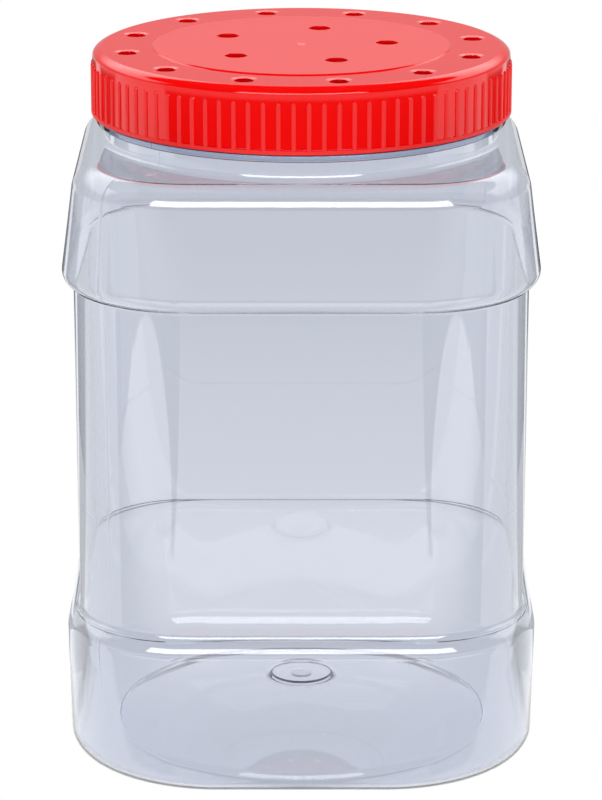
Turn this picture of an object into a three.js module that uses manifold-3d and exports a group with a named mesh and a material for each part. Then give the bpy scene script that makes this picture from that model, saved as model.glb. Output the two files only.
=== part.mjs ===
// Square grip jar of clear plastic with a vented red screw lid. Millimetres, +Z up.
// The origin is the middle of the foot's plane. One flat face looks along -Y.
import * as THREE from "three";
import { mergeGeometries, mergeVertices } from "three/addons/utils/BufferGeometryUtils.js";
import Module from "manifold-3d";

const wasm = await Module();
wasm.setup();

// Closed jar. The body's half width is taken at the foot.
const overallHeight = 195.8;
const bodyHalfWidth = 64.1;
const neckRadius = 53.3;
const seatGap = 0.3;

// Lid: top plate and skirt. Thread room is the space between the neck's wall and the skirt's.
const lidHeight = 18;
const threadRoom = 2.1;
const lidWallThickness = 1.6;
const lidTopThickness = 1.8;
const lidEdgeRadius = 3.5;
const lidInsideChamfer = 1.2;
const lidMouthChamfer = 0.6;
const raisedDiscHeight = 0.3;
const raisedDiscSlope = 0.4;
const gateDimpleRadius = 1.6;
const gateDimpleDepth = 0.3;

// Lid: grip ribs on the skirt, which run down into a plain ring
const ribCount = 90;
const ribWidth = 1.3;
const ribNoseWidth = 0.5;
const ribProud = 0.5;
const ribTipSlope = 0.7;
const ribTopDrop = 4.2;
const ribSunk = 0.4;
const footRingHeight = 1;
const footRingProud = 0.55;

// Lid: vent holes
const outerHoleCount = 12;
const outerHoleInset = 8.9;
const outerHoleRadius = 2.55;
const outerHoleTurnDegrees = 11.8;
const dimpleRadius = 3.5;
const dimpleDepth = 0.35;
const dimpleToDisc = 4.15;
const innerHoleCount = 5;
const innerHoleCircleRadius = 23.5;
const innerHoleRadius = 3;
const innerHoleTurnDegrees = 5.5;
const cutOverrun = 1;

// Jar: walls
const bodyWall = 1;
const floorWall = 1.4;
const neckWall = 1.9;

// Jar: foot and push-up floor
const ledgeCornerRadius = 34.4;
const heelCornerRadius = 36.5;
const heelRadius = 10.3;
const standingLedge = 1.5;
const pushUpStep = 1.8;
const pushUpDraft = 0.8;
const pushUpRimRadius = 0.8;
const pushUpFootRadius = 1.6;
const domeRise = 10.6;
const gatePadRadius = 8.8;
const gatePadDepth = 0.5;
const gateNubRadius = 2.9;
const gateNubLength = 0.6;

// Jar: lower band and grip waist
const lowerBandHeight = 43.4;
const lowerBandFlare = 0.2;
const lowerBandCornerRadius = 32;
const lowerBandEdgeRadius = 6;
const lowerStepRise = 2.5;
const lowerStepRadius = 2.2;
const gripLowInset = 3;
const gripHighInset = 2.7;
const gripCornerRadius = 32;

// Jar: upper band and shoulder
const overhangRise = 1.5;
const overhangRadius = 4.2;
const creaseRadius = 0.8;
const upperBandHeight = 31.5;
const upperBandLowFlare = 0.9;
const upperBandHighInset = 3.4;
const upperBandLowCornerRadius = 37;
const upperBandHighCornerRadius = 30;
const shoulderEdgeRadius = 7;
const shoulderFall = 0.8;

// Jar: neck
const neckRootRadius = 2;
const neckRootLength = 5.4;
const beadProud = 2.9;
const beadHeight = 1.8;
const beadDraft = 0.4;
const beadToLidGap = 0.5;

// Fineness of the curves
const pointsAroundJar = 56;
const filletStepDegrees = 35;
const domeSteps = 4;
const lidEdgeSteps = 2;
const segmentsAroundLid = 90;
const segmentsAroundHole = 16;
const mergeDistance = 0.0001;

// Levels, from the top down
const lidPlane = overallHeight - raisedDiscHeight;
const lidUnderside = lidPlane - lidTopThickness;
const lidMouth = overallHeight - lidHeight;
const rimHeight = lidUnderside - seatGap;
const beadTop = lidMouth - beadToLidGap;
const beadFoot = beadTop - beadHeight;
const neckRoot = beadFoot - neckRootLength;
const shoulderHeight = neckRoot - shoulderFall;
const overhangHeight = shoulderHeight - upperBandHeight;
const creaseHeight = overhangHeight - overhangRise;
const gripFoot = lowerBandHeight + lowerStepRise;

// Radii that follow the neck, and those that follow the foot
const lidInsideRadius = neckRadius + threadRoom;
const lidWallRadius = lidInsideRadius + lidWallThickness;
const outerHoleCircleRadius = lidWallRadius - outerHoleInset;
const raisedDiscRadius = outerHoleCircleRadius - dimpleRadius - dimpleToDisc;
const beadRadius = neckRadius + beadProud;
const pushUpRadius = bodyHalfWidth - heelRadius - standingLedge;

const fullTurn = 2 * Math.PI;
const quarterTurn = Math.PI / 2;

// Distance from the axis to a rounded square, in the direction of an angle.
function roundedSquareRadius(angle, halfWidth, cornerRadius) {
  const turned = ((angle % quarterTurn) + quarterTurn) % quarterTurn;
  const folded = Math.min(turned, quarterTurn - turned);
  const centre = halfWidth - cornerRadius;
  if (Math.tan(folded) * halfWidth <= centre) return halfWidth / Math.cos(folded);
  const along = centre * (Math.cos(folded) + Math.sin(folded));
  const across = centre * (Math.cos(folded) - Math.sin(folded));
  return along + Math.sqrt(cornerRadius ** 2 - across ** 2);
}

// A corner of a wall's profile: half width across the flats, height, corner radius seen from above,
// fillet in the profile, and the wall's thickness, which may change along the fillet.
function corner(halfWidth, height, cornerRadius, fillet, wall, wallAfter = wall) {
  return { at: new THREE.Vector2(halfWidth, height), cornerRadius, fillet, wall, wallAfter };
}

// A corner of a round wall's profile.
function roundCorner(radius, height, fillet, wall, wallAfter) {
  return corner(radius, height, radius, fillet, wall, wallAfter);
}

// The heel, whose corner radius seen from above grows from the ledge up to the side walls.
function heelCorner() {
  const heel = corner(bodyHalfWidth, 0, heelCornerRadius, heelRadius, bodyWall);
  return { ...heel, firstCornerRadius: ledgeCornerRadius };
}

// The way out of the material on the right of a direction of travel.
function rightOf(direction) {
  return new THREE.Vector2(direction.y, -direction.x);
}

// Stations along a run of corners, with a fillet at each inner corner. The first and last corner
// only give the run its direction there.
function filletedStations(corners) {
  const stations = [];
  const largestStep = THREE.MathUtils.degToRad(filletStepDegrees);
  for (let i = 1; i < corners.length - 1; i++) {
    const { at, cornerRadius, firstCornerRadius, fillet, wall, wallAfter } = corners[i];
    const coming = at.clone().sub(corners[i - 1].at).normalize();
    const going = corners[i + 1].at.clone().sub(at).normalize();
    const turn = Math.atan2(coming.cross(going), coming.dot(going));
    const steps = Math.ceil(Math.abs(turn) / largestStep);
    const setBack = fillet * Math.tan(Math.abs(turn) / 2);
    const start = at.clone().addScaledVector(coming, -setBack);
    const outward = rightOf(coming);
    const side = Math.sign(turn);
    const centre = start.clone().addScaledVector(outward, -side * fillet);
    for (let k = 0; k <= steps; k++) {
      const share = k / steps;
      const normal = outward.clone().rotateAround(new THREE.Vector2(), turn * share);
      const point = centre.clone().addScaledVector(normal, side * fillet);
      const evenCornerRadius = cornerRadius + point.x - at.x;
      const changingCornerRadius = THREE.MathUtils.lerp(firstCornerRadius, cornerRadius, share);
      stations.push({
        halfWidth: point.x,
        height: point.y,
        cornerRadius: firstCornerRadius ? changingCornerRadius : evenCornerRadius,
        normal,
        wall: THREE.MathUtils.lerp(wall, wallAfter, share),
      });
    }
  }
  return stations;
}

// The same station on the other side of the wall.
function inward(station) {
  const { halfWidth, height, cornerRadius, normal, wall } = station;
  return {
    halfWidth: halfWidth - wall * normal.x,
    height: height - wall * normal.y,
    cornerRadius: cornerRadius - wall * normal.x,
  };
}

function roundStation(radius, height) {
  return { halfWidth: radius, height, cornerRadius: radius };
}

// A closed skin through the stations. The first and last lie on the axis.
function loftedGeometry(stations, around) {
  const positions = [];
  const rings = stations.map(({ halfWidth, height, cornerRadius }) => {
    const first = positions.length / 3;
    const count = halfWidth > 0 ? around : 1;
    for (let j = 0; j < count; j++) {
      const angle = (fullTurn * j) / around;
      const radius = halfWidth > 0 ? roundedSquareRadius(angle, halfWidth, cornerRadius) : 0;
      positions.push(radius * Math.cos(angle), radius * Math.sin(angle), height);
    }
    return { first, count };
  });
  const indices = [];
  for (let i = 0; i < rings.length - 1; i++) {
    const low = rings[i];
    const high = rings[i + 1];
    for (let j = 0; j < around; j++) {
      const next = (j + 1) % around;
      const a = low.first + (j % low.count);
      const b = low.first + (next % low.count);
      const c = high.first + (next % high.count);
      const d = high.first + (j % high.count);
      if (low.count > 1) indices.push(a, b, c);
      if (high.count > 1) indices.push(a, c, d);
    }
  }
  const geometry = new THREE.BufferGeometry();
  geometry.setAttribute("position", new THREE.Float32BufferAttribute(positions, 3));
  geometry.setIndex(indices);
  geometry.computeVertexNormals();
  return geometry;
}

// The domed floor's underside, from the gate pad out towards the top of the push-up step. The dome
// is part of a sphere, and its slope at the step meets the axis at tangentHeight.
function floorDome(rimRadius) {
  const sphereRadius = (rimRadius ** 2 + domeRise ** 2) / (2 * domeRise);
  const sphereHeight = pushUpStep + domeRise - sphereRadius;
  const padAngle = Math.asin(gatePadRadius / sphereRadius);
  const rimAngle = Math.asin(rimRadius / sphereRadius);
  const stations = [];
  for (let k = 0; k < domeSteps; k++) {
    const angle = padAngle + ((rimAngle - padAngle) * k) / domeSteps;
    const radius = sphereRadius * Math.sin(angle);
    const height = sphereHeight + sphereRadius * Math.cos(angle);
    const normal = new THREE.Vector2(-Math.sin(angle), -Math.cos(angle));
    stations.push({ ...roundStation(radius, height), normal, wall: floorWall });
  }
  const padHeight = stations[0].height + gatePadDepth;
  const tangentHeight = sphereHeight + sphereRadius / Math.cos(rimAngle);
  return { stations, padHeight, tangentHeight };
}

function jarBody() {
  const domeRadius = pushUpRadius - pushUpDraft;
  const dome = floorDome(domeRadius);
  const padFlatRadius = gatePadRadius - gatePadDepth;
  const insideNeckRadius = neckRadius - neckWall;
  const lowerBand = bodyHalfWidth + lowerBandFlare;
  const gripLow = bodyHalfWidth - gripLowInset;
  const gripHigh = bodyHalfWidth - gripHighInset;
  const upperBandLow = bodyHalfWidth + upperBandLowFlare;
  const upperBandHigh = bodyHalfWidth - upperBandHighInset;
  const wall = filletedStations([
    roundCorner(0, dome.tangentHeight, 0, floorWall),
    roundCorner(domeRadius, pushUpStep, pushUpRimRadius, floorWall),
    roundCorner(pushUpRadius, 0, pushUpFootRadius, floorWall),
    heelCorner(),
    corner(lowerBand, lowerBandHeight, lowerBandCornerRadius, lowerBandEdgeRadius, bodyWall),
    corner(gripLow, gripFoot, gripCornerRadius, lowerStepRadius, bodyWall),
    corner(gripHigh, creaseHeight, gripCornerRadius, creaseRadius, bodyWall),
    corner(upperBandLow, overhangHeight, upperBandLowCornerRadius, overhangRadius, bodyWall),
    corner(upperBandHigh, shoulderHeight, upperBandHighCornerRadius, shoulderEdgeRadius, bodyWall),
    roundCorner(neckRadius, neckRoot, neckRootRadius, bodyWall, neckWall),
    roundCorner(neckRadius, beadFoot, 0, neckWall),
  ]);
  const stations = [
    roundStation(0, dome.padHeight - gateNubLength),
    roundStation(gateNubRadius, dome.padHeight - gateNubLength),
    roundStation(gateNubRadius, dome.padHeight),
    roundStation(padFlatRadius, dome.padHeight),
    ...dome.stations,
    ...wall,
    roundStation(neckRadius, beadFoot),
    roundStation(beadRadius - beadDraft, beadFoot),
    roundStation(beadRadius, beadFoot + beadDraft),
    roundStation(beadRadius, beadTop - beadDraft),
    roundStation(beadRadius - beadDraft, beadTop),
    roundStation(neckRadius, beadTop),
    roundStation(neckRadius, rimHeight),
    roundStation(insideNeckRadius, rimHeight),
    ...wall.map(inward).reverse(),
    ...dome.stations.map(inward).reverse(),
    roundStation(padFlatRadius, dome.padHeight + floorWall),
    roundStation(0, dome.padHeight + floorWall),
  ];
  return loftedGeometry(stations, pointsAroundJar);
}

// A closed geometry as a solid for joining and cutting.
function solidFrom(geometry) {
  const bare = geometry.index ? geometry.toNonIndexed() : geometry.clone();
  bare.deleteAttribute("normal");
  bare.deleteAttribute("uv");
  const merged = mergeVertices(bare, mergeDistance);
  return new wasm.Manifold(
    new wasm.Mesh({
      numProp: 3,
      vertProperties: merged.attributes.position.array,
      triVerts: new Uint32Array(merged.index.array),
    }),
  );
}

function geometryFrom(solid) {
  const mesh = solid.getMesh();
  const geometry = new THREE.BufferGeometry();
  geometry.setAttribute("position", new THREE.BufferAttribute(mesh.vertProperties, 3));
  geometry.setIndex(new THREE.BufferAttribute(mesh.triVerts, 1));
  geometry.computeVertexNormals();
  return geometry;
}

// A profile of radius and height, turned about +Z.
function turned(profile, segments) {
  return new THREE.LatheGeometry(profile, segments).rotateX(quarterTurn);
}

// Top plate, raised disc, skirt and foot ring as one turned cap, open below.
function lidShell() {
  const profile = new THREE.Path();
  profile.moveTo(0, lidUnderside);
  profile.lineTo(lidInsideRadius - lidInsideChamfer, lidUnderside);
  profile.lineTo(lidInsideRadius, lidUnderside - lidInsideChamfer);
  profile.lineTo(lidInsideRadius, lidMouth + lidMouthChamfer);
  profile.lineTo(lidInsideRadius + lidMouthChamfer, lidMouth);
  profile.lineTo(lidWallRadius + footRingProud, lidMouth);
  profile.lineTo(lidWallRadius + footRingProud, lidMouth + footRingHeight);
  profile.lineTo(lidWallRadius, lidMouth + footRingHeight);
  const edgeCentreRadius = lidWallRadius - lidEdgeRadius;
  profile.absarc(edgeCentreRadius, lidPlane - lidEdgeRadius, lidEdgeRadius, 0, quarterTurn, false);
  profile.lineTo(raisedDiscRadius + raisedDiscSlope, lidPlane);
  profile.lineTo(raisedDiscRadius, overallHeight);
  profile.lineTo(gateDimpleRadius, overallHeight);
  profile.lineTo(0, overallHeight - gateDimpleDepth);
  return turned(profile.getPoints(lidEdgeSteps), segmentsAroundLid);
}

// One grip rib, standing along +Z with its nose towards +X and a tip that slopes back at the top. Its
// foot is sunk into the foot ring.
function gripRib() {
  const section = new THREE.Shape();
  section.moveTo(-ribSunk, -ribWidth / 2);
  section.lineTo(ribProud, -ribNoseWidth / 2);
  section.lineTo(ribProud, ribNoseWidth / 2);
  section.lineTo(-ribSunk, ribWidth / 2);
  const depth = lidHeight - ribTopDrop - footRingHeight / 2;
  const rib = new THREE.ExtrudeGeometry(section, { depth, bevelEnabled: false });
  const position = rib.getAttribute("position");
  for (let i = 0; i < position.count; i++) {
    const isNose = position.getX(i) > ribProud / 2;
    const isTop = position.getZ(i) > depth / 2;
    if (isNose && isTop) position.setZ(i, depth - ribTipSlope);
  }
  return rib.translate(lidWallRadius, 0, lidMouth + footRingHeight / 2);
}

// Copies of a geometry at even steps round the axis, as one geometry.
function ringOf(geometry, count, firstAngle) {
  const copies = [];
  for (let i = 0; i < count; i++) {
    copies.push(geometry.clone().rotateZ(firstAngle + (fullTurn * i) / count));
  }
  return mergeGeometries(copies);
}

// Cutter for a plain vent hole through the top plate.
function plainHoleCutter(radius) {
  const bottom = lidUnderside - cutOverrun;
  const top = overallHeight + cutOverrun;
  const outline = [
    new THREE.Vector2(0, bottom),
    new THREE.Vector2(radius, bottom),
    new THREE.Vector2(radius, top),
    new THREE.Vector2(0, top),
  ];
  return turned(outline, segmentsAroundHole);
}

// Cutter for a vent hole with a shallow dimple round its mouth.
function dimpledHoleCutter(radius) {
  const bottom = lidUnderside - cutOverrun;
  const top = overallHeight + cutOverrun;
  const outline = [
    new THREE.Vector2(0, bottom),
    new THREE.Vector2(radius, bottom),
    new THREE.Vector2(radius, lidPlane - dimpleDepth),
    new THREE.Vector2(dimpleRadius, lidPlane),
    new THREE.Vector2(dimpleRadius, top),
    new THREE.Vector2(0, top),
  ];
  return turned(outline, segmentsAroundHole);
}

function screwLid() {
  const outerCutter = dimpledHoleCutter(outerHoleRadius).translate(outerHoleCircleRadius, 0, 0);
  const innerCutter = plainHoleCutter(innerHoleRadius).translate(innerHoleCircleRadius, 0, 0);
  const outerTurn = THREE.MathUtils.degToRad(outerHoleTurnDegrees);
  const innerTurn = THREE.MathUtils.degToRad(innerHoleTurnDegrees);
  const ribs = solidFrom(ringOf(gripRib(), ribCount, 0));
  const outerHoles = solidFrom(ringOf(outerCutter, outerHoleCount, outerTurn));
  const innerHoles = solidFrom(ringOf(innerCutter, innerHoleCount, innerTurn));
  const lid = solidFrom(lidShell()).add(ribs).subtract(outerHoles).subtract(innerHoles);
  return geometryFrom(lid);
}

const clearPlastic = new THREE.MeshStandardMaterial({
  color: 0xd9e0ec,
  roughness: 0.06,
  metalness: 0,
  transparent: true,
  opacity: 0.35,
});
const redPlastic = new THREE.MeshStandardMaterial({ color: 0xf4140f, roughness: 0.28, metalness: 0 });

const jarMesh = new THREE.Mesh(jarBody(), clearPlastic);
jarMesh.name = "jar_body";

const lidMesh = new THREE.Mesh(screwLid(), redPlastic);
lidMesh.name = "screw_lid";

const jar = new THREE.Group();
jar.add(jarMesh, lidMesh);

export default jar;
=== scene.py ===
# Square grip jar of clear plastic with a vented red screw lid, in a plain bright studio.
# Shapes are worked out in millimetres and written into meshes in metres.
import math

import bmesh
import bpy
import numpy as np
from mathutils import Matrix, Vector
from mathutils.geometry import tessellate_polygon


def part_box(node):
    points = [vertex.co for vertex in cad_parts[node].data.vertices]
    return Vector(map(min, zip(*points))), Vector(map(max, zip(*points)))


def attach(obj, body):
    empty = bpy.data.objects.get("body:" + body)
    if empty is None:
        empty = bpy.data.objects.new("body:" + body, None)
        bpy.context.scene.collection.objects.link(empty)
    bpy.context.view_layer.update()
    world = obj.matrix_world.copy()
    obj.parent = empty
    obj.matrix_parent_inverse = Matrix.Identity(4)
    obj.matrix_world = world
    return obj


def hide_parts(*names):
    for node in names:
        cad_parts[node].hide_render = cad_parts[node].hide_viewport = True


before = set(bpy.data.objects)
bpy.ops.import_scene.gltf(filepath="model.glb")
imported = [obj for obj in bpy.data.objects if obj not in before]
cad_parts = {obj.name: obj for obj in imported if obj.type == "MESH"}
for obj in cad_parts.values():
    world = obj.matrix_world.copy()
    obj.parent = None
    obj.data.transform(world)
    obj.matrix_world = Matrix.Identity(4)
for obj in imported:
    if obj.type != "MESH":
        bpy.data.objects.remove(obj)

MM = 0.001
FULL_TURN = 2 * math.pi
QUARTER_TURN = math.pi / 2
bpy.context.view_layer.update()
jar_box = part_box("jar_body")
lid_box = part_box("screw_lid")

# Heights read from the frame
OVERALL_HEIGHT = lid_box[1].z / MM
LID_MOUTH = lid_box[0].z / MM
RIM_HEIGHT = jar_box[1].z / MM

# Lid
RIB_COUNT = 90
RIB_PROUD = 0.5
RIB_ROOT_WIDTH = 1.4
RIB_ROUNDNESS = 0.6
RIB_TOP_DROP = 4.1
RIB_TIP_LENGTH = 0.9
RIB_FOOT_RISE = 1.1
FOOT_RING_FILLET = 0.25
THREAD_ROOM = 2.1
LID_WALL_THICKNESS = 1.6
LID_TOP_THICKNESS = 1.8
LID_EDGE_REACH = 5
LID_EDGE_DROP = 2.2
LID_EDGE_TURN = math.radians(60.5)
LID_INSIDE_FILLET = 1.2
LID_MOUTH_CHAMFER = 0.6
DISC_HEIGHT = 0.3
DISC_SLOPE = 0.4
DISC_RADIUS = 40.45
GATE_DIMPLE_RADIUS = 1.6
GATE_DIMPLE_DEPTH = 0.3

# Vent holes, a dimpled circle of them outside the disc and a plain one on it
OUTER_HOLES = 12
OUTER_HOLE_CIRCLE = 48.1
OUTER_HOLE_RADIUS = 2.55
OUTER_HOLE_TURN = math.radians(11.8)
HOLE_DIMPLE_RADIUS = 3.5
HOLE_DIMPLE_DEPTH = 0.2
INNER_HOLES = 5
INNER_HOLE_CIRCLE = 23.5
INNER_HOLE_RADIUS = 3
INNER_HOLE_TURN = math.radians(5.5)
HOLE_LIP = 0.18

# Jar walls
BODY_WALL = 0.6
FLOOR_WALL = 1.0
NECK_ROOT_WALL = 0.7
NECK_WALL = 1.9

# Jar foot and push-up floor
BODY_HALF_WIDTH = 64.1
LEDGE_CORNER_RADIUS = 34.4
HEEL_CORNER_RADIUS = 36.5
HEEL_RADIUS = 10.3
STANDING_LEDGE = 1.5
PUSH_UP_STEP = 1.8
PUSH_UP_DRAFT = 0.8
PUSH_UP_RIM_RADIUS = 0.8
PUSH_UP_FOOT_RADIUS = 1.6
DOME_RISE = 10.6
GATE_PAD_RADIUS = 8.8
GATE_PAD_DEPTH = 0.5
GATE_NUB_RADIUS = 2.9
GATE_NUB_LENGTH = 0.6

# Jar bands, waist and shoulder
LOWER_BAND_HEIGHT = 43.4
LOWER_BAND_FLARE = 0.2
LOWER_BAND_CORNER_RADIUS = 32
LOWER_BAND_RADIUS = 6
LOWER_STEP_RISE = 2.5
LOWER_STEP_RADIUS = 2.2
GRIP_LOW_INSET = 3
GRIP_HIGH_INSET = 2.7
GRIP_CORNER_RADIUS = 32
OVERHANG_RISE = 1.5
OVERHANG_RADIUS = 4.2
CREASE_RADIUS = 0.8
UPPER_BAND_HEIGHT = 31.5
UPPER_BAND_LOW_FLARE = 0.85
UPPER_BAND_HIGH_INSET = 3.4
UPPER_BAND_LOW_CORNER_RADIUS = 37
UPPER_BAND_HIGH_CORNER_RADIUS = 30
SHOULDER_EDGE_RADIUS = 7
SHOULDER_FALL = 0.8

# Jar neck
NECK_RADIUS = 53.3
NECK_ROOT_RADIUS = 2
NECK_ROOT_LENGTH = 5.4
BEAD_PROUD = 2.9
BEAD_HEIGHT = 1.8
BEAD_EDGE_RADIUS = 0.4
BEAD_TO_LID_GAP = 0.5
RIM_EDGE_RADIUS = 0.5

# Screw threads, one start and right-handed
THREAD_PITCH = 5.08
THREAD_TURNS = 1.15
THREAD_WIDTH = 2.8
THREAD_RUN_OUT_TURNS = 0.04
NECK_THREAD_PROUD = 1.5
NECK_THREAD_LOW = 182.2
LID_THREAD_PROUD = 1.4
LID_THREAD_LOW = 180.2

# Parting line of the mould, a fine raised line up two opposite corners
SEAM_ANGLE = math.radians(45)
SEAM_PROUD = 0.09
FAINT_SEAM_SHARE = 0.2
SEAM_WIDTH = 0.35
SEAM_REACH = 2 * SEAM_WIDTH

# Levels, from the top down
LID_PLANE = OVERALL_HEIGHT - DISC_HEIGHT
LID_UNDERSIDE = LID_PLANE - LID_TOP_THICKNESS
BEAD_TOP = LID_MOUTH - BEAD_TO_LID_GAP
BEAD_FOOT = BEAD_TOP - BEAD_HEIGHT
NECK_ROOT = BEAD_FOOT - NECK_ROOT_LENGTH
SHOULDER_HEIGHT = NECK_ROOT - SHOULDER_FALL
OVERHANG_HEIGHT = SHOULDER_HEIGHT - UPPER_BAND_HEIGHT
CREASE_HEIGHT = OVERHANG_HEIGHT - OVERHANG_RISE
GRIP_FOOT = LOWER_BAND_HEIGHT + LOWER_STEP_RISE

# Radii that follow from these sizes
LID_INSIDE_RADIUS = NECK_RADIUS + THREAD_ROOM
LID_WALL_RADIUS = LID_INSIDE_RADIUS + LID_WALL_THICKNESS
BEAD_RADIUS = NECK_RADIUS + BEAD_PROUD
PUSH_UP_RADIUS = BODY_HALF_WIDTH - HEEL_RADIUS - STANDING_LEDGE

# Fineness of the curves
JAR_SEGMENTS = 320
SEAM_SEGMENTS = 10
LID_SEGMENTS = 360
HOLE_SEGMENTS = 48
GATE_MARK_STRIDE = 8
FILLET_STEP = math.radians(6)
THREAD_STEP = 0.28
DOME_STEPS = 24
EDGE_STEPS = 5
LID_EDGE_STEPS = 12
LID_FILLET_STEPS = 6
RIB_TIP_STEPS = 7
FOOT_RING_STEPS = 4
HOLE_LIP_STEPS = 4
DIMPLE_LIP_STEPS = 3
GATE_MARK_STEPS = 7
RIB_POINT_SHARES = np.array([0, 0.2, 0.4, 0.58, 0.74, 0.87, 0.96, 1, 1.2])
SHARP_EDGE = math.radians(38)

# Clear plastic, whose tint shows only where the light goes far through the wall
WHITE = (1, 1, 1, 1)
CLEAR_IOR = 1.57
CLEAR_TINT = (0.083, 0.208, 0.458, 1)
CLEAR_DENSITY = 190

# Red plastic, glossy on the lid's edge and wall, and satin on its ribs and disc
RED = (0.88, 0.001, 0.001, 1)
DISC_RED = (0.78, 0.001, 0.001, 1)
RED_IOR = 1.49
GLOSS_ROUGHNESS = 0.06
RIB_ROUGHNESS = 0.42
DISC_ROUGHNESS = 0.3
RIB_LOOK_FROM = 0.1
RIB_LOOK_TO = 0.3
GRAIN_SCALE = 2500
GRAIN_DETAIL = 3
GRAIN_DEPTH = 0.0001
GLOSS_GRAIN = 0.015
DISC_GRAIN = 0.08

# Depths that tell rays apart, each between two whole numbers of bounces
ONE_BOUNCE = 0.5
LONG_PATH = 7.5

# Studio round the jar, with its lights as levels and its places as angles in degrees
BACKDROP = (0.705, 0.73, 0.8, 1)
LONG_PATH_LIGHT = (1.0, 1.03, 1.12, 1)
AMBIENT = 0.5
FRONT_DARK = 0.04
SOFTBOX = 6.0
SOFTBOX_HALF_WIDTH = 38.5
SOFTBOX_LOW = 18.0
SOFTBOX_HIGH = 45.0
BACK_SWEEP = 2.3
LOW_SWEEP = 0.45
LOW_SWEEP_TOP = 13.0
HIGH_SWEEP_FOOT = 29.0
SWEEP_TOP = 42.0
INSIDE_SWEEP = 1.0
SWEEP_FROM = 85.0
SWEEP_TO = 100.0
HORIZON_FOOT = 5.0
HORIZON_TOP = 9.0
EDGE_BLUR = 2.0

# Table, with its lights as levels
SCATTER = 1.5
OUTSIDE_TABLE = 2.3
INSIDE_TABLE = 0.8
NEAR_TABLE = 0.6
SIDE_TABLE = 1.2
SIDE_DARK = 0.1
FAR_TABLE = 0.8

# Places and sizes on the table in metres, and the slopes of its slants
FLOOR_HALF_SIZE = 6.0
FLOOR_DROP = 0.00005
PATCH_HALF_WIDTH = 0.295
PATCH_SLANT = 0.33
PATCH_FRONT = 0.260
PATCH_FRONT_FAR = 0.57
PATCH_FRONT_NEAR = 0.24
PATCH_MIDDLE = 0.105
PATCH_BACK = -0.06
PATCH_BACK_SLANT = 0.16
PATCH_BLUR = 0.005
LOBE_OFFSET = 0.245
LOBE_RADIUS = 0.126
NEAR_SHADE_FROM = 0.10
NEAR_SHADE_TO = 0.24
FAR_TABLE_FROM = 0.9
FAR_TABLE_TO = 1.3

# Sides of the table, as angles in degrees from the direction of the camera
SIDE_TURN = 120.0
EDGE_LIGHT_FROM = 142.0
EDGE_LIGHT_TO = 151.0

# Lamps, in metres and watts
FRONT_LAMP = {"place": (0, -1.6, 0.9), "size": (2.4, 0.8), "power": 4}
TOP_LAMP = {"place": (0, 0.2, 1.8), "size": (1.6, 1.6), "power": 23.5}

# Camera: the photograph's frame, and the viewpoint solved from the lid's and the floor's ellipses
PHOTO_HEIGHT_PX = 800
FOCAL_LENGTH_PX = 3786
CAMERA_PLACE = (-0.0001, -1.017, 0.398)
CAMERA_TILT_DOWN = 0.290
SENSOR_MM = 36
CLIP_END = 30

# Bounces of light
MOST_BOUNCES = 24
GLOSSY_BOUNCES = 16
DIFFUSE_BOUNCES = 12


class Shell:
    """Points and faces of one piece, gathered ring by ring, in millimetres."""

    def __init__(self):
        self.points = []
        self.faces = []
        self.flat = []

    def ring(self, points):
        """Adds an array of points and returns their numbers."""
        first = len(self.points)
        self.points.extend(tuple(p) for p in points)
        return np.arange(first, first + len(points))

    def bridge(self, low, high):
        """Quads between two rings of the same count, or a fan to a single point."""
        if len(low) == 1 or len(high) == 1:
            tip, rim = (low, high) if len(low) == 1 else (high, low)
            self.faces.extend(zip(rim, np.roll(rim, -1), [tip[0]] * len(rim)))
        else:
            self.faces.extend(zip(low, np.roll(low, -1), np.roll(high, -1), high))

    def narrow(self, fine, coarse):
        """Flat faces from a fine ring to a coarse one, each over the same number of fine steps. Steps
        that are left over, where the counts don't divide, stay without a face."""
        share = len(fine) // len(coarse)
        for i, corner in enumerate(coarse):
            following = coarse[(i + 1) % len(coarse)]
            run = [fine[(i * share + k) % len(fine)] for k in range(share + 1)]
            self.faces.append((corner, *run, following))

    def loft(self, rings):
        """Bridges each ring of points to the next, and returns the first and the last."""
        numbers = [self.ring(points) for points in rings]
        for low, high in zip(numbers, numbers[1:]):
            self.bridge(low, high)
        return numbers[0], numbers[-1]

    def plate(self, loops):
        """Fills the level region inside the first loop and outside the others."""
        joined = np.concatenate(loops)
        outlines = [[Vector(self.points[k]) for k in loop] for loop in loops]
        for triangle in tessellate_polygon(outlines):
            self.flat.append(len(self.faces))
            self.faces.append(tuple(joined[k] for k in triangle))

    def piece(self, name, material):
        """The finished object, smooth but for its plates and its sharp edges."""
        mesh = bpy.data.meshes.new(name)
        vertices = [(x * MM, y * MM, z * MM) for x, y, z in self.points]
        mesh.from_pydata(vertices, [], [tuple(int(k) for k in face) for face in self.faces])
        work = bmesh.new()
        work.from_mesh(mesh)
        bmesh.ops.recalc_face_normals(work, faces=work.faces)
        work.to_mesh(mesh)
        work.free()
        mesh.set_sharp_from_angle(angle=SHARP_EDGE)
        sharp = np.zeros(len(mesh.edges), dtype=bool)
        mesh.edges.foreach_get("use_edge_sharp", sharp)
        plate_edges = {key for face in self.flat for key in mesh.polygons[face].edge_keys}
        sharp |= np.array([edge.key in plate_edges for edge in mesh.edges])
        mesh.edges.foreach_set("use_edge_sharp", sharp)
        mesh.materials.append(material)
        made = bpy.data.objects.new(name, mesh)
        bpy.context.scene.collection.objects.link(made)
        return made


def level_ring(radius, height, angles):
    """Points of a level ring. The radius may be a number or one number per angle."""
    radii = np.broadcast_to(radius, angles.shape)
    heights = np.full(angles.shape, height)
    return np.stack([radii * np.cos(angles), radii * np.sin(angles), heights], axis=-1)


def smooth_step(value):
    """Rises from 0 to 1 while value goes from 0 to 1, level at both ends."""
    t = np.clip(value, 0, 1)
    return t * t * (3 - 2 * t)


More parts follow.
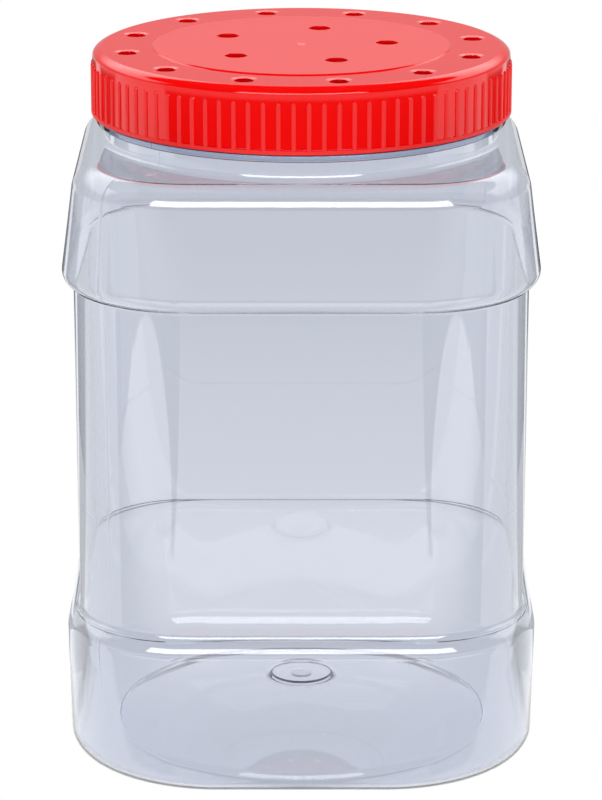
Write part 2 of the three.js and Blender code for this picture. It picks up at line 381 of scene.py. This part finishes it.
def helix_rise(angles, height, low):
    """How far a screw thread stands out at each angle on a level ring, as a share of its height."""
    rise = np.zeros(len(angles))
    for turn in range(math.ceil(THREAD_TURNS)):
        along = angles / FULL_TURN + turn
        middle = low + THREAD_PITCH * along
        flank = np.clip(np.abs(height - middle) / (THREAD_WIDTH / 2), 0, 1)
        crest = np.cos(flank * QUARTER_TURN) ** 2
        from_end = np.minimum(along, THREAD_TURNS - along) / THREAD_RUN_OUT_TURNS
        rise = np.maximum(rise, crest * smooth_step(from_end))
    return rise


def round_station(radius, height):
    """A station of a round wall: half width, height and corner radius."""
    return radius, height, radius


def edge_arc(radius, height, size, start, end, steps):
    """Stations of a round arc in the profile of a round wall, about its own centre."""
    arc = []
    for k in range(steps + 1):
        angle = start + (end - start) * k / steps
        arc.append(round_station(radius + size * math.cos(angle), height + size * math.sin(angle)))
    return arc


def rounded_square_radius(angles, half_width, corner_radius):
    """Distance from the axis to a rounded square at each angle."""
    turned = np.mod(angles, QUARTER_TURN)
    folded = np.minimum(turned, QUARTER_TURN - turned)
    centre = half_width - corner_radius
    along = centre * (np.cos(folded) + np.sin(folded))
    across = centre * (np.cos(folded) - np.sin(folded))
    arc = along + np.sqrt(np.maximum(corner_radius**2 - across**2, 0))
    return np.where(np.tan(folded) * half_width <= centre, half_width / np.cos(folded), arc)


def corner(half_width, height, corner_radius, fillet, wall, wall_after=None, first_corner_radius=None):
    """A corner of a wall's profile, with the wall's thickness before and after its fillet. The corner
    radius seen from above follows the half width, or goes from a first value along the fillet."""
    after = wall if wall_after is None else wall_after
    return np.array([half_width, height]), (corner_radius, first_corner_radius), fillet, (wall, after)


def round_corner(radius, height, fillet, wall, wall_after=None):
    """A corner of a round wall's profile."""
    return corner(radius, height, radius, fillet, wall, wall_after)


def filleted_stations(corners):
    """Stations along a run of corners with a fillet at each: half width, height, corner radius,
    the way out of the material, and the wall's thickness. The run's two ends have none."""
    stations = []
    for before, (at, radii, fillet, walls), following in zip(corners, corners[1:], corners[2:]):
        coming = (at - before[0]) / np.linalg.norm(at - before[0])
        going = (following[0] - at) / np.linalg.norm(following[0] - at)
        turn = math.atan2(coming[0] * going[1] - coming[1] * going[0], coming @ going)
        steps = max(1, math.ceil(abs(turn) / FILLET_STEP))
        start = at - coming * fillet * math.tan(abs(turn) / 2)
        outward = np.array([coming[1], -coming[0]])
        side = math.copysign(1, turn)
        centre = start - outward * side * fillet
        for k in range(steps + 1):
            share = k / steps
            angle = turn * k / steps
            normal = np.array([
                outward[0] * math.cos(angle) - outward[1] * math.sin(angle),
                outward[0] * math.sin(angle) + outward[1] * math.cos(angle),
            ])
            point = centre + normal * side * fillet
            corner_radius = radii[0] + point[0] - at[0]
            if radii[1] is not None:
                corner_radius = radii[1] + (radii[0] - radii[1]) * share
            thickness = walls[0] + (walls[1] - walls[0]) * share
            stations.append((point[0], point[1], corner_radius, normal, thickness))
    return stations


def inner_side(station):
    """The station on the wall's inner side, across from one on its outer side."""
    half_width, height, corner_radius, normal, wall = station
    return half_width - wall * normal[0], height - wall * normal[1], corner_radius - wall * normal[0]


def floor_dome(rim_radius):
    """Stations of the dome's underside, the gate pad's height, and where its slope at the rim meets
    the axis."""
    sphere_radius = (rim_radius**2 + DOME_RISE**2) / (2 * DOME_RISE)
    sphere_height = PUSH_UP_STEP + DOME_RISE - sphere_radius
    pad_angle = math.asin(GATE_PAD_RADIUS / sphere_radius)
    rim_angle = math.asin(rim_radius / sphere_radius)
    stations = []
    for k in range(DOME_STEPS):
        angle = pad_angle + (rim_angle - pad_angle) * k / DOME_STEPS
        normal = np.array([-math.sin(angle), -math.cos(angle)])
        radius = sphere_radius * math.sin(angle)
        height = sphere_height + sphere_radius * math.cos(angle)
        stations.append((*round_station(radius, height), normal, FLOOR_WALL))
    pad_height = stations[0][1] + GATE_PAD_DEPTH
    return stations, pad_height, sphere_height + sphere_radius / math.cos(rim_angle)


def body_wall():
    """Stations of the body's outer side, first those of the dome and then those from the dome's rim up
    to the bead, and the height of the gate pad in the dome."""
    dome_radius = PUSH_UP_RADIUS - PUSH_UP_DRAFT
    dome, pad_height, tangent_height = floor_dome(dome_radius)
    lower_band = BODY_HALF_WIDTH + LOWER_BAND_FLARE
    grip_low = BODY_HALF_WIDTH - GRIP_LOW_INSET
    grip_high = BODY_HALF_WIDTH - GRIP_HIGH_INSET
    band_low = BODY_HALF_WIDTH + UPPER_BAND_LOW_FLARE
    band_high = BODY_HALF_WIDTH - UPPER_BAND_HIGH_INSET
    wall = filleted_stations([
        round_corner(0, tangent_height, 0, FLOOR_WALL),
        round_corner(dome_radius, PUSH_UP_STEP, PUSH_UP_RIM_RADIUS, FLOOR_WALL),
        round_corner(PUSH_UP_RADIUS, 0, PUSH_UP_FOOT_RADIUS, FLOOR_WALL),
        corner(BODY_HALF_WIDTH, 0, HEEL_CORNER_RADIUS, HEEL_RADIUS, FLOOR_WALL, wall_after=BODY_WALL,
               first_corner_radius=LEDGE_CORNER_RADIUS),
        corner(lower_band, LOWER_BAND_HEIGHT, LOWER_BAND_CORNER_RADIUS, LOWER_BAND_RADIUS, BODY_WALL),
        corner(grip_low, GRIP_FOOT, GRIP_CORNER_RADIUS, LOWER_STEP_RADIUS, BODY_WALL),
        corner(grip_high, CREASE_HEIGHT, GRIP_CORNER_RADIUS, CREASE_RADIUS, BODY_WALL),
        corner(band_low, OVERHANG_HEIGHT, UPPER_BAND_LOW_CORNER_RADIUS, OVERHANG_RADIUS, BODY_WALL),
        corner(band_high, SHOULDER_HEIGHT, UPPER_BAND_HIGH_CORNER_RADIUS, SHOULDER_EDGE_RADIUS, BODY_WALL),
        round_corner(NECK_RADIUS, NECK_ROOT, NECK_ROOT_RADIUS, BODY_WALL, wall_after=NECK_ROOT_WALL),
        round_corner(NECK_RADIUS, BEAD_FOOT, 0, NECK_WALL),
    ])
    return dome, wall, pad_height


def jar_angles():
    """Angles round the jar, closer together at the two parting lines."""
    even = np.arange(JAR_SEGMENTS) * FULL_TURN / JAR_SEGMENTS
    reach = SEAM_REACH / BODY_HALF_WIDTH
    near = np.linspace(-reach, reach, SEAM_SEGMENTS + 1)
    return np.unique(np.concatenate([even, SEAM_ANGLE + near, SEAM_ANGLE + math.pi + near]))


def seam_rise(angles):
    """How far the parting line stands out at each angle, where it is strongest."""
    turned = np.mod(angles - SEAM_ANGLE + QUARTER_TURN, math.pi) - QUARTER_TURN
    across = turned * BODY_HALF_WIDTH * math.sqrt(2) / SEAM_WIDTH
    return SEAM_PROUD * np.exp(-(across**2))


def seam_share(height):
    """How strong the parting line is at a height: none at the foot, faint up to the crease, full above."""
    if height <= HEEL_RADIUS / 2:
        return 0
    return 1 if height > CREASE_HEIGHT else FAINT_SEAM_SHARE


def jar_ring(angles, station, rise=0):
    """Points of the jar's ring at a station, or its single point on the axis."""
    half_width, height, corner_radius = station
    if half_width == 0:
        return np.array([[0, 0, height]])
    return level_ring(rounded_square_radius(angles, half_width, corner_radius) + rise, height, angles)


def jar_shell():
    """The jar, from the gate nub under its floor up the outside, over the rim and down the inside."""
    shell = Shell()
    angles = jar_angles()
    seam = seam_rise(angles)
    dome, wall, pad_height = body_wall()
    pad_flat_radius = GATE_PAD_RADIUS - GATE_PAD_DEPTH
    bead_edge = BEAD_RADIUS - BEAD_EDGE_RADIUS
    rim_edge = NECK_RADIUS - RIM_EDGE_RADIUS
    inside_edge = NECK_RADIUS - NECK_WALL + RIM_EDGE_RADIUS
    rim_edge_height = RIM_HEIGHT - RIM_EDGE_RADIUS
    underside = [
        round_station(0, pad_height - GATE_NUB_LENGTH),
        round_station(GATE_NUB_RADIUS, pad_height - GATE_NUB_LENGTH),
        round_station(GATE_NUB_RADIUS, pad_height),
        round_station(pad_flat_radius, pad_height),
    ]
    bead = [
        round_station(NECK_RADIUS, BEAD_FOOT),
        *edge_arc(bead_edge, BEAD_FOOT + BEAD_EDGE_RADIUS, BEAD_EDGE_RADIUS, -QUARTER_TURN, 0, EDGE_STEPS),
        *edge_arc(bead_edge, BEAD_TOP - BEAD_EDGE_RADIUS, BEAD_EDGE_RADIUS, 0, QUARTER_TURN, EDGE_STEPS),
        round_station(NECK_RADIUS, BEAD_TOP),
    ]
    rim = [
        *edge_arc(rim_edge, rim_edge_height, RIM_EDGE_RADIUS, 0, QUARTER_TURN, EDGE_STEPS),
        *edge_arc(inside_edge, rim_edge_height, RIM_EDGE_RADIUS, QUARTER_TURN, math.pi, EDGE_STEPS),
    ]
    inside = [
        *[inner_side(station) for station in reversed(dome + wall)],
        round_station(pad_flat_radius, pad_height + FLOOR_WALL),
        round_station(0, pad_height + FLOOR_WALL),
    ]
    rings = [jar_ring(angles, station) for station in underside]
    rings += [jar_ring(angles, station[:3]) for station in dome]
    rings += [jar_ring(angles, station[:3], seam * seam_share(station[1])) for station in wall]
    rings += [jar_ring(angles, station, seam) for station in bead]
    for height in np.arange(BEAD_TOP + THREAD_STEP, rim_edge_height - THREAD_STEP, THREAD_STEP):
        rise = NECK_THREAD_PROUD * helix_rise(angles, height, NECK_THREAD_LOW)
        rings.append(level_ring(NECK_RADIUS + rise, height, angles))
    rings += [jar_ring(angles, station) for station in rim + inside]
    shell.loft(rings)
    return shell


def rib_angles():
    """Angles round the skirt, closer together on each rib, and the distance from the rib's middle."""
    half_gap = math.pi * LID_WALL_RADIUS / RIB_COUNT
    right = RIB_POINT_SHARES * RIB_ROOT_WIDTH / 2
    across = np.concatenate([right, [half_gap], -right[:0:-1]])
    turns = np.arange(RIB_COUNT)[:, None] * FULL_TURN / RIB_COUNT
    angles = np.mod(turns + across / LID_WALL_RADIUS, FULL_TURN).ravel()
    order = np.argsort(angles, kind="stable")
    return angles[order], np.tile(np.abs(across), RIB_COUNT)[order]


def rib_rise(across, narrowing):
    """How far the rib stands out at a distance from its middle. Narrowing is 1 along the rib and
    falls to 0 at its tip."""
    if narrowing <= 0:
        return np.zeros(len(across))
    root = RIB_ROOT_WIDTH / 2 * narrowing
    return RIB_PROUD * narrowing * np.maximum(1 - (across / root) ** 2, 0) ** RIB_ROUNDNESS


def lid_skirt():
    """Rings of the lid's outside, from its rounded edge down over the ribs to the mouth."""
    angles, across = rib_angles()
    edge_height = LID_PLANE - LID_EDGE_DROP * math.sin(LID_EDGE_TURN)
    edge_radius = LID_WALL_RADIUS - LID_EDGE_REACH
    rib_top = OVERALL_HEIGHT - RIB_TOP_DROP
    rib_foot = LID_MOUTH + RIB_FOOT_RISE
    rings = []
    for angle in np.linspace(LID_EDGE_TURN, 0, LID_EDGE_STEPS + 1):
        radius = edge_radius + LID_EDGE_REACH * math.cos(angle)
        rings.append(level_ring(radius, edge_height + LID_EDGE_DROP * math.sin(angle), angles))
    for drop in np.linspace(0, 1, RIB_TIP_STEPS + 1):
        radius = LID_WALL_RADIUS + rib_rise(across, math.sqrt(1 - (1 - drop) ** 2))
        rings.append(level_ring(radius, rib_top - RIB_TIP_LENGTH * drop, angles))
    ribs = rib_rise(across, 1)

    # This ring comes again as the fillet's first one, which keeps the shading of the ribs straight
    rings.append(level_ring(LID_WALL_RADIUS + ribs, rib_foot + FOOT_RING_FILLET, angles))
    for angle in np.linspace(0, QUARTER_TURN, FOOT_RING_STEPS + 1):
        radius = LID_WALL_RADIUS + ribs + (RIB_PROUD - ribs) * (1 - math.cos(angle))
        rings.append(level_ring(radius, rib_foot + FOOT_RING_FILLET * (1 - math.sin(angle)), angles))
    foot_edge = LID_WALL_RADIUS + RIB_PROUD - FOOT_RING_FILLET
    foot_height = LID_MOUTH + FOOT_RING_FILLET
    arc = edge_arc(foot_edge, foot_height, FOOT_RING_FILLET, 0, -QUARTER_TURN, FOOT_RING_STEPS)
    return rings + [level_ring(radius, height, angles) for radius, height, _ in arc]


def lid_inside(angles):
    """Rings of the lid's inside, from the mouth up over the thread to the underside of its top."""
    fillet_height = LID_UNDERSIDE - LID_INSIDE_FILLET
    rings = [level_ring(LID_INSIDE_RADIUS + LID_MOUTH_CHAMFER, LID_MOUTH, angles)]
    for height in np.arange(LID_MOUTH + LID_MOUTH_CHAMFER, fillet_height, THREAD_STEP):
        rise = LID_THREAD_PROUD * helix_rise(angles, height, LID_THREAD_LOW)
        rings.append(level_ring(LID_INSIDE_RADIUS - rise, height, angles))
    fillet_radius = LID_INSIDE_RADIUS - LID_INSIDE_FILLET
    arc = edge_arc(fillet_radius, fillet_height, LID_INSIDE_FILLET, 0, QUARTER_TURN, LID_FILLET_STEPS)
    return rings + [level_ring(radius, height, angles) for radius, height, _ in arc]


def gate_mark(angles):
    """Rings of the plain dimple in the middle of the disc, from its rim to its lowest point."""
    rings = []
    for radius in np.linspace(GATE_DIMPLE_RADIUS, 0, GATE_MARK_STEPS + 1):
        height = OVERALL_HEIGHT - GATE_DIMPLE_DEPTH * smooth_step(1 - radius / GATE_DIMPLE_RADIUS)
        rings.append(level_ring(radius, height, angles) if radius > 0 else np.array([[0, 0, height]]))
    return rings


def hole_lip(radius, height, size, steps):
    """Stations down a rounded lip, from the level plate into a hole."""
    return [
        (radius + size - size * math.sin(angle), height - size + size * math.cos(angle))
        for angle in np.linspace(0, QUARTER_TURN, steps + 1)
    ]


def vent_holes(shell, count, circle, first_turn, profile):
    """The walls of a circle of holes along a profile of radii and heights. Returns the rings of their
    tops and the rings of their feet."""
    angles = np.arange(HOLE_SEGMENTS) * FULL_TURN / HOLE_SEGMENTS
    tops, feet = [], []
    for turn in first_turn + np.arange(count) * FULL_TURN / count:
        centre = [circle * math.cos(turn), circle * math.sin(turn), 0]
        top, foot = shell.loft([level_ring(radius, height, angles) + centre for radius, height in profile])
        tops.append(top)
        feet.append(foot)
    return tops, feet


def lid_shell():
    """The lid: its skirt inside and out, the raised disc, the vent holes and the plates between them."""
    shell = Shell()
    angles = np.arange(LID_SEGMENTS) * FULL_TURN / LID_SEGMENTS
    edge_rim, mouth_outside = shell.loft(lid_skirt())
    mouth_inside, underside_rim = shell.loft(lid_inside(angles))
    shell.narrow(mouth_outside, mouth_inside)
    disc_foot, disc_rim = shell.loft([
        level_ring(DISC_RADIUS + DISC_SLOPE, LID_PLANE, angles),
        level_ring(DISC_RADIUS + DISC_SLOPE / 2, LID_PLANE + DISC_HEIGHT / 2, angles),
        level_ring(DISC_RADIUS, OVERALL_HEIGHT, angles),
    ])
    gate_rim, _ = shell.loft(gate_mark(angles[::GATE_MARK_STRIDE]))

    # A dimple starts with the upper part of a lip and then slopes to the hole's own lip
    outer_profile = [
        *hole_lip(HOLE_DIMPLE_RADIUS, LID_PLANE, HOLE_LIP, DIMPLE_LIP_STEPS)[:2],
        (HOLE_DIMPLE_RADIUS - HOLE_LIP, LID_PLANE - HOLE_LIP / 2),
        *hole_lip(OUTER_HOLE_RADIUS, LID_PLANE - HOLE_DIMPLE_DEPTH, HOLE_LIP, HOLE_LIP_STEPS),
        (OUTER_HOLE_RADIUS, LID_UNDERSIDE),
    ]
    inner_profile = [
        *hole_lip(INNER_HOLE_RADIUS, OVERALL_HEIGHT, HOLE_LIP, HOLE_LIP_STEPS),
        (INNER_HOLE_RADIUS, LID_UNDERSIDE),
    ]
    outer_tops, outer_feet = vent_holes(
        shell, OUTER_HOLES, OUTER_HOLE_CIRCLE, OUTER_HOLE_TURN, outer_profile)
    inner_tops, inner_feet = vent_holes(
        shell, INNER_HOLES, INNER_HOLE_CIRCLE, INNER_HOLE_TURN, inner_profile)
    shell.plate([edge_rim, disc_foot, *outer_tops])
    shell.plate([disc_rim, gate_rim, *inner_tops])
    shell.plate([underside_rim, *outer_feet, *inner_feet])
    return shell


class Nodes:
    """Short ways to place and link the nodes of one material or world."""

    def __init__(self, tree):
        self.tree = tree

    def add(self, kind, **settings):
        node = self.tree.nodes.new(kind)
        for name, value in settings.items():
            setattr(node, name, value)
        return node

    def put(self, socket, value):
        """Links another node's output to a socket, or sets the socket to a plain value."""
        if isinstance(value, bpy.types.NodeSocket):
            self.tree.links.new(value, socket)
        else:
            socket.default_value = value

    def math(self, operation, *values):
        node = self.add("ShaderNodeMath", operation=operation)
        for socket, value in zip(node.inputs, values):
            self.put(socket, value)
        return node.outputs[0]

    def total(self, first, second):
        return self.math("ADD", first, second)

    def difference(self, first, second):
        return self.math("SUBTRACT", first, second)

    def product(self, first, second):
        return self.math("MULTIPLY", first, second)

    def coordinates(self, kind):
        """The x, y and z of one kind of texture coordinates."""
        split = self.add("ShaderNodeSeparateXYZ")
        self.put(split.inputs[0], self.add("ShaderNodeTexCoord").outputs[kind])
        return split.outputs

    def distance(self, x, y):
        """Level distance from the axis."""
        return self.math("SQRT", self.total(self.product(x, x), self.product(y, y)))

    def sideways(self, x, y):
        """Angle in degrees to either side of the direction towards the photograph's camera."""
        ahead = self.product(y, -1.0)
        return self.math("DEGREES", self.math("ARCTAN2", self.math("ABSOLUTE", x), ahead))

    def ramp(self, value, low, high, out_low=0.0, out_high=1.0):
        """A smooth change from out_low to out_high while value goes from low to high."""
        node = self.add("ShaderNodeMapRange", interpolation_type="SMOOTHSTEP")
        for socket, given in (
            ("Value", value),
            ("From Min", low),
            ("From Max", high),
            ("To Min", out_low),
            ("To Max", out_high),
        ):
            self.put(node.inputs[socket], given)
        return node.outputs["Result"]

    def step(self, value, edge, blur, out_low=0.0, out_high=1.0):
        """A smooth change over a blur to either side of an edge."""
        return self.ramp(value, edge - blur, edge + blur, out_low, out_high)

    def grey(self, value):
        """A grey colour of a number."""
        if not isinstance(value, bpy.types.NodeSocket):
            return (value, value, value, 1)
        node = self.add("ShaderNodeCombineXYZ")
        for socket in node.inputs:
            self.put(socket, value)
        return node.outputs[0]

    def tint(self, share, first, second):
        """Plain mix of two colours."""
        node = self.add("ShaderNodeMix", data_type="RGBA")
        self.put(node.inputs[0], share)
        self.put(node.inputs[6], first)
        self.put(node.inputs[7], second)
        return node.outputs[2]

    def mix(self, share, first, second):
        """Plain mix of two numbers."""
        node = self.add("ShaderNodeMix", data_type="FLOAT")
        self.put(node.inputs[0], share)
        self.put(node.inputs[2], first)
        self.put(node.inputs[3], second)
        return node.outputs[0]

    def deeper(self, kind, depth):
        """Whether a ray's depth of one kind is above a number, as 0 or 1."""
        path = self.add("ShaderNodeLightPath")
        return self.math("GREATER_THAN", path.outputs[kind], depth)


def new_material(name):
    """A new material with its nodes, its surface shader and its output."""
    material = bpy.data.materials.new(name)
    material.use_nodes = True
    placed = material.node_tree.nodes
    return material, Nodes(material.node_tree), placed["Principled BSDF"], placed["Material Output"]


def clear_plastic():
    material, nodes, surface, output = new_material("clear_plastic")
    surface.inputs["Base Color"].default_value = WHITE
    surface.inputs["Transmission Weight"].default_value = 1
    surface.inputs["IOR"].default_value = CLEAR_IOR
    surface.inputs["Roughness"].default_value = 0.0
    absorption = nodes.add("ShaderNodeVolumeAbsorption")
    absorption.inputs["Color"].default_value = CLEAR_TINT
    absorption.inputs["Density"].default_value = CLEAR_DENSITY
    nodes.put(output.inputs["Volume"], absorption.outputs[0])
    return material


def red_plastic():
    material, nodes, surface, _ = new_material("red_plastic")
    x, y, z = nodes.coordinates("Object")
    from_axis = nodes.distance(x, y)
    inside_disc = nodes.ramp(from_axis, (DISC_RADIUS + DISC_SLOPE) * MM, DISC_RADIUS * MM)
    on_top = nodes.ramp(z, (LID_PLANE + DISC_HEIGHT / 2) * MM, OVERALL_HEIGHT * MM)
    satin = nodes.product(inside_disc, on_top)
    rib_foot = (LID_WALL_RADIUS + RIB_LOOK_FROM) * MM
    rib_crest = (LID_WALL_RADIUS + RIB_LOOK_TO) * MM
    roughness = nodes.mix(nodes.ramp(from_axis, rib_foot, rib_crest), GLOSS_ROUGHNESS, RIB_ROUGHNESS)
    grain = nodes.add("ShaderNodeTexNoise", noise_dimensions="3D")
    nodes.put(grain.inputs["Vector"], nodes.add("ShaderNodeTexCoord").outputs["Object"])
    grain.inputs["Scale"].default_value = GRAIN_SCALE
    grain.inputs["Detail"].default_value = GRAIN_DETAIL
    bump = nodes.add("ShaderNodeBump")
    bump.inputs["Distance"].default_value = GRAIN_DEPTH
    nodes.put(bump.inputs["Strength"], nodes.mix(satin, GLOSS_GRAIN, DISC_GRAIN))
    nodes.put(bump.inputs["Height"], grain.outputs["Fac"])
    surface.inputs["IOR"].default_value = RED_IOR
    nodes.put(surface.inputs["Base Color"], nodes.tint(satin, RED, DISC_RED))
    nodes.put(surface.inputs["Roughness"], nodes.mix(satin, roughness, DISC_ROUGHNESS))
    nodes.put(surface.inputs["Normal"], bump.outputs[0])
    return material


def seen_light(nodes, studio, scattered_light):
    """The light of a studio surface: plain white to the camera, the backdrop through the jar, the studio
    by reflection, one fixed light at the end of a long path, and its own value for scattered rays."""
    light = nodes.tint(nodes.deeper("Transmission Depth", ONE_BOUNCE), WHITE, BACKDROP)
    light = nodes.tint(nodes.deeper("Glossy Depth", ONE_BOUNCE), light, nodes.grey(studio))
    light = nodes.tint(nodes.deeper("Ray Depth", LONG_PATH), light, LONG_PATH_LIGHT)
    return nodes.tint(nodes.deeper("Diffuse Depth", ONE_BOUNCE), light, nodes.grey(scattered_light))


def studio_world():
    """The light sweep behind the jar, the dark room ahead of it over a light horizon, and a softbox."""
    world = bpy.data.worlds.new("studio")
    bpy.context.scene.world = world
    world.use_nodes = True
    world.cycles.sampling_method = "NONE"
    nodes = Nodes(world.node_tree)
    x, y, z = nodes.coordinates("Generated")
    sideways = nodes.sideways(x, y)
    elevation = nodes.math("DEGREES", nodes.math("ARCSINE", z))
    sweep = nodes.ramp(elevation, LOW_SWEEP_TOP, HIGH_SWEEP_FOOT, LOW_SWEEP, BACK_SWEEP)
    sweep = nodes.mix(nodes.step(elevation, SWEEP_TOP, EDGE_BLUR), sweep, FRONT_DARK)
    sweep = nodes.mix(nodes.deeper("Transmission Depth", ONE_BOUNCE), sweep, INSIDE_SWEEP)
    ahead = nodes.ramp(elevation, HORIZON_FOOT, HORIZON_TOP, FAR_TABLE, FRONT_DARK)
    light = nodes.ramp(sideways, SWEEP_FROM, SWEEP_TO, ahead, sweep)
    across = nodes.ramp(sideways, SOFTBOX_HALF_WIDTH, SOFTBOX_HALF_WIDTH - EDGE_BLUR)
    above = nodes.ramp(elevation, SOFTBOX_LOW, SOFTBOX_LOW + EDGE_BLUR)
    below = nodes.ramp(elevation, SOFTBOX_HIGH, SOFTBOX_HIGH - EDGE_BLUR)
    softbox = nodes.product(across, nodes.product(above, below))
    light = nodes.total(light, nodes.product(softbox, SOFTBOX))
    background = world.node_tree.nodes["Background"]
    background.inputs["Strength"].default_value = 1
    nodes.put(background.inputs["Color"], seen_light(nodes, light, AMBIENT))


def patch_share(nodes, x, y, inside_ray):
    """Where the lit patch of table is. Its outline is a strip with slanting sides and a round lobe at
    each front corner. In the middle, and for rays from inside the jar, it has a soft front alone."""
    across = nodes.math("ABSOLUTE", x)
    edge = nodes.difference(PATCH_HALF_WIDTH, nodes.product(y, PATCH_SLANT))
    within = nodes.step(nodes.difference(edge, across), 0.0, PATCH_BLUR)
    strip = nodes.product(within, nodes.step(y, -PATCH_FRONT, PATCH_BLUR))
    from_lobe = nodes.distance(nodes.difference(across, LOBE_OFFSET), nodes.total(y, PATCH_FRONT))
    lobe = nodes.step(nodes.difference(LOBE_RADIUS, from_lobe), 0.0, PATCH_BLUR)
    firm = nodes.math("MAXIMUM", strip, lobe)
    soft = nodes.ramp(y, -PATCH_FRONT_FAR, -PATCH_FRONT_NEAR)
    aside = nodes.step(across, PATCH_MIDDLE, PATCH_BLUR)
    return nodes.mix(nodes.product(aside, nodes.difference(1.0, inside_ray)), soft, firm)


def back_light(nodes, x, y):
    """The table behind the patch's slanting back edge: light at the sides and dark behind the jar, with
    a light stripe in the dark at each side."""
    back = nodes.total(y, nodes.product(nodes.math("ABSOLUTE", x), PATCH_BACK_SLANT))
    sideways = nodes.sideways(x, y)
    light = nodes.step(sideways, SIDE_TURN, EDGE_BLUR, SIDE_TABLE, SIDE_DARK)
    stripe_from = nodes.step(sideways, EDGE_LIGHT_FROM, EDGE_BLUR)
    stripe_to = nodes.step(sideways, EDGE_LIGHT_TO, EDGE_BLUR, 1.0, 0.0)
    light = nodes.total(light, nodes.product(stripe_from, stripe_to))
    return nodes.product(nodes.step(back, PATCH_BACK, PATCH_BLUR), light)


def table_light(nodes):
    """The light of the table at each place: the patch, the back and, far out, a plain level."""
    x, y, _ = nodes.coordinates("Object")
    inside_ray = nodes.deeper("Transmission Depth", ONE_BOUNCE)
    lit = nodes.mix(inside_ray, OUTSIDE_TABLE, INSIDE_TABLE)
    near = nodes.ramp(y, -NEAR_SHADE_TO, -NEAR_SHADE_FROM, lit, NEAR_TABLE)
    patch = nodes.product(patch_share(nodes, x, y, inside_ray), near)
    table = nodes.math("MAXIMUM", patch, back_light(nodes, x, y))
    far = nodes.ramp(nodes.distance(x, y), FAR_TABLE_FROM, FAR_TABLE_TO, FRONT_DARK, FAR_TABLE)
    return nodes.math("MAXIMUM", table, far)


def floor_glow():
    """The floor's material: it glows upwards, and from below it lets all light through."""
    material, nodes, _, output = new_material("floor")
    glow = nodes.add("ShaderNodeEmission")
    nodes.put(glow.inputs["Color"], seen_light(nodes, table_light(nodes), SCATTER))
    side = nodes.add("ShaderNodeMixShader")
    nodes.put(side.inputs[0], nodes.add("ShaderNodeNewGeometry").outputs["Backfacing"])
    nodes.put(side.inputs[1], glow.outputs[0])
    nodes.put(side.inputs[2], nodes.add("ShaderNodeBsdfTransparent").outputs[0])
    nodes.put(output.inputs["Surface"], side.outputs[0])
    return material


def studio_floor():
    half = FLOOR_HALF_SIZE
    corners = [(-half, -half, 0), (half, -half, 0), (half, half, 0), (-half, half, 0)]
    mesh = bpy.data.meshes.new("floor")
    mesh.from_pydata(corners, [], [(0, 1, 2, 3)])
    mesh.materials.append(floor_glow())
    floor = bpy.data.objects.new("floor", mesh)
    floor.location.z = -FLOOR_DROP
    bpy.context.scene.collection.objects.link(floor)


def lamp(name, place, size, power):
    """A lamp aimed at the lid, which neither the camera nor a reflection nor a clear wall shows."""
    data = bpy.data.lights.new(name, "AREA")
    data.shape = "RECTANGLE"
    data.size, data.size_y = size
    data.energy = power
    made = bpy.data.objects.new(name, data)
    made.location = place
    towards = Vector((0, 0, OVERALL_HEIGHT * MM)) - Vector(place)
    made.rotation_euler = towards.to_track_quat("-Z", "Y").to_euler()
    made.visible_camera = False
    made.visible_glossy = False
    made.visible_transmission = False
    bpy.context.scene.collection.objects.link(made)


def photo_camera():
    data = bpy.data.cameras.new("camera")
    data.sensor_width = SENSOR_MM
    data.lens = FOCAL_LENGTH_PX * SENSOR_MM / PHOTO_HEIGHT_PX
    data.clip_end = CLIP_END
    camera = bpy.data.objects.new("camera", data)
    camera.location = CAMERA_PLACE
    camera.rotation_euler = (QUARTER_TURN - CAMERA_TILT_DOWN, 0, 0)
    bpy.context.scene.collection.objects.link(camera)
    bpy.context.scene.camera = camera


photo_camera()
studio_world()
studio_floor()
lamp("front_softbox", **FRONT_LAMP)
lamp("top_softbox", **TOP_LAMP)

jar = jar_shell().piece("clear_jar", clear_plastic())
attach(jar, "jar")
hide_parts("jar_body")

lid = lid_shell().piece("red_lid", red_plastic())
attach(lid, "lid")
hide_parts("screw_lid")

scene = bpy.context.scene
scene.view_settings.view_transform = "Standard"
scene.cycles.max_bounces = MOST_BOUNCES
scene.cycles.transmission_bounces = MOST_BOUNCES
scene.cycles.glossy_bounces = GLOSSY_BOUNCES
scene.cycles.diffuse_bounces = DIFFUSE_BOUNCES
